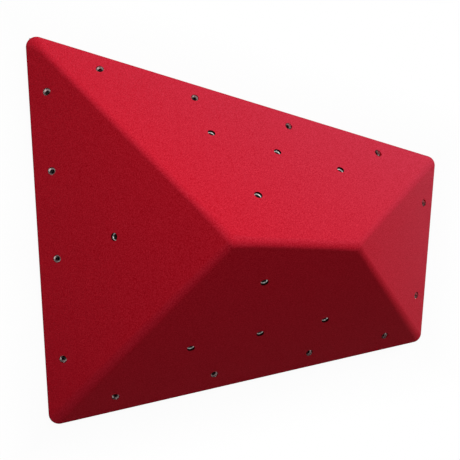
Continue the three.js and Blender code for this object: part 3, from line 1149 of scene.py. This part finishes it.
def make_pads():
    """Makes one pad, with its hole and prong slots, and copies it to all their places."""
    pad = outline_loop(rounded_square(PAD_WIDTH, PAD_CORNER_RADIUS))
    edit_all(pad)
    bpy.ops.mesh.extrude_region_move(TRANSFORM_OT_translate={"value": (0, 0, PAD_THICKNESS)})
    leave_edit()
    outward(pad)
    level = set()
    for edge in pad.data.edges:
        first, second = end_heights(pad, edge)
        if abs(first - second) < LEAST_RADIUS:
            level.add(edge.index)
    round_edges(pad, level, PAD_CHAMFER, EDGE_STEPS)
    cut(pad, post(NUT_BARREL_DIAMETER / 2 + GLUE_GAP, -OVERRUN / 2, PAD_THICKNESS + OVERRUN / 2))
    for index in range(PRONG_COUNT):
        slot = prong(GLUE_GAP)
        slot.location.z = -SEAT_GAP
        cut(pad, around(slot, index))
    give(pad, PLYWOOD)
    keep_own_place(pad, side=True)
    for face, index, shares in nuts():
        node = f"nut_pad_{face.name}_{index + 1}"
        piece = copy_of(pad, f"pad_{face.name}_{index + 1}", face.nut(shares, PAD_BACK_DEPTH))
        soften(piece)
        dress(piece, piece.name, "birch_plywood", node)
    discard(pad)


make_pads()


def make_beads():
    """Glue squeezed out round each pad, in a bead of uneven width."""
    loops = [rounded_square(PAD_WIDTH + 2 * spread, PAD_CORNER_RADIUS + spread, BEAD_STEPS)
             for spread, height in BEAD_SECTION]
    edge = rounded_square(PAD_WIDTH, PAD_CORNER_RADIUS, BEAD_STEPS)
    deselect()
    bpy.ops.mesh.primitive_torus_add(
        major_radius=PAD_WIDTH, minor_radius=BEAD_WIDTH,
        major_segments=len(edge), minor_segments=len(BEAD_SECTION))
    bead = bpy.context.object
    for vertex in bead.data.vertices:
        along, across = divmod(vertex.index, len(BEAD_SECTION))
        turn = 2 * math.pi * along / len(edge)
        waves = sum(size * math.sin(count * turn + start) for size, count, start in BEAD_WAVES)
        swell = BEAD_FULLNESS + waves
        point = edge[along].lerp(loops[across][along], swell)
        vertex.co = (point.x, point.y, PAD_THICKNESS + SEAT_GAP - BEAD_SECTION[across][1] * swell)
    give(outward(bead), RESIN)
    for face, index, shares in nuts():
        placing = face.nut(shares, PAD_BACK_DEPTH) @ Matrix.Rotation(index * math.pi / 2, 4, "Z")
        piece = copy_of(bead, f"glue_bead_{face.name}_{index + 1}", placing)
        soften(piece)
        dress(piece, piece.name, "birch_plywood")
    discard(bead)


make_beads()


# Camera, fitted to the outline, ridges and holes seen in the photograph

CAMERA_PLACE = Vector((-0.22555, 0.0080, 1.0703))
CAMERA_RIGHT = Vector((0.98261, -0.05513, 0.17730))
CAMERA_DOWN = Vector((-0.05810, -0.99824, 0.01157))
FOCAL_PIXELS = 612.1
FRAME_PIXELS = 460
SENSOR_WIDTH = 36
NEAREST_SEEN = 0.01


def make_camera():
    """The camera that took the photograph."""
    deselect()
    bpy.ops.object.camera_add()
    camera = bpy.context.object
    camera.name = "camera"
    side = CAMERA_RIGHT.normalized()
    back = side.cross(-CAMERA_DOWN).normalized()
    up = back.cross(side)
    turn = Matrix((side, up, back)).transposed().to_4x4()
    camera.matrix_world = Matrix.Translation(CAMERA_PLACE) @ turn
    camera.data.sensor_width = SENSOR_WIDTH
    camera.data.lens = FOCAL_PIXELS / FRAME_PIXELS * SENSOR_WIDTH
    camera.data.clip_start = NEAREST_SEEN
    bpy.context.scene.camera = camera


make_camera()


# Floor and light

FLOOR_WIDTH = 14

# Whiteness that the floor shows beside the object, where its shadow stays faint, and how far from
# the object the floor is fully white
SHADED_WHITENESS = 0.95
SHADE_REACH = 0.12

# Light of the dim room, and how high the white backdrop and its soft edge stand
ROOM_LIGHT = 0.03
BACKDROP_RISE = math.radians(22)
BACKDROP_EDGE = math.radians(5)

# Square lamps: turn from +X and rise above the floor in degrees, both seen from the aim, then distance
# and width in metres, and power in watts
LIGHTS_AIM = Vector((-0.05, 0.05, 0.12))
LAMPS = {
    "key": (50, 30.5, 5.0, 1.5, 177),
    "left_fill": (150, 55, 1.0, 0.5, 2.4),
    "low_left_fill": (190, 40, 1.1, 0.5, 0.73),
    "overhead": (0, 78, 2.1, 1.8, 6.3),
}


def make_floor():
    """A pale floor that shows as white round the object, with a faint shadow, and not inside it."""
    deselect()
    bpy.ops.mesh.primitive_plane_add(size=FLOOR_WIDTH)
    floor = bpy.context.object
    floor.name = "floor"
    finish = Finish("pale_floor")
    x, y, z = finish.parts(finish.place())
    beyond = None
    for face in faces:
        past = x * face.wallward.x + y * face.wallward.y - face.side(SKIN_THICKNESS)[1]
        beyond = past if beyond is None else beyond.math("MAXIMUM", beyond, past)
    open_floor = beyond.math("GREATER_THAN", beyond, 0.0)
    white = finish.add("ShaderNodeEmission", None, {"Color": WHITE, "Strength": 1.0})
    whiteness = finish.spread(beyond, 0.0, SHADE_REACH, to_low=SHADED_WHITENESS)
    share = finish.plain_sight() * open_floor * whiteness
    lit = Socket(finish, finish.shader.outputs[0])
    both = finish.add("ShaderNodeMixShader", None, {0: share, 1: lit, 2: white})
    finish.feed(finish.tree.nodes["Material Output"].inputs["Surface"], both)
    finish.set(Base_Color=FLOOR_PALE, Roughness=0.9)
    give(floor, finish.material)


def area_light(name, turn, rise, distance, size, power):
    """A square lamp, seen from the object at a turn from +X and a rise above the floor in degrees."""
    deselect()
    turn, rise = math.radians(turn), math.radians(rise)
    way = Vector((math.cos(rise) * math.cos(turn), math.cos(rise) * math.sin(turn), math.sin(rise)))
    bpy.ops.object.light_add(type="AREA", location=LIGHTS_AIM + way * distance)
    light = bpy.context.object
    light.name = name
    light.rotation_euler = way.to_track_quat("Z", "Y").to_euler()
    light.data.size = size
    light.data.energy = power


def light_world():
    """A dim room whose white backdrop stands all round the floor."""
    world = bpy.data.worlds.new("studio")
    bpy.context.scene.world = world
    room = Nodes(world)
    way = room.add("ShaderNodeTexCoord", out="Generated")
    top_edge = math.sin(BACKDROP_RISE + BACKDROP_EDGE)
    backdrop = room.spread(room.parts(way)[2], math.sin(BACKDROP_RISE), top_edge, to_low=1.0, to_high=0.0)
    back = room.tree.nodes["Background"]
    room.feed(back.inputs["Color"], WHITE)
    room.feed(back.inputs["Strength"], room.plain_sight() * backdrop * (1 - ROOM_LIGHT) + ROOM_LIGHT)


make_floor()
light_world()
for lamp, setting in LAMPS.items():
    area_light(lamp, *setting)

bpy.context.scene.view_settings.view_transform = "Standard"
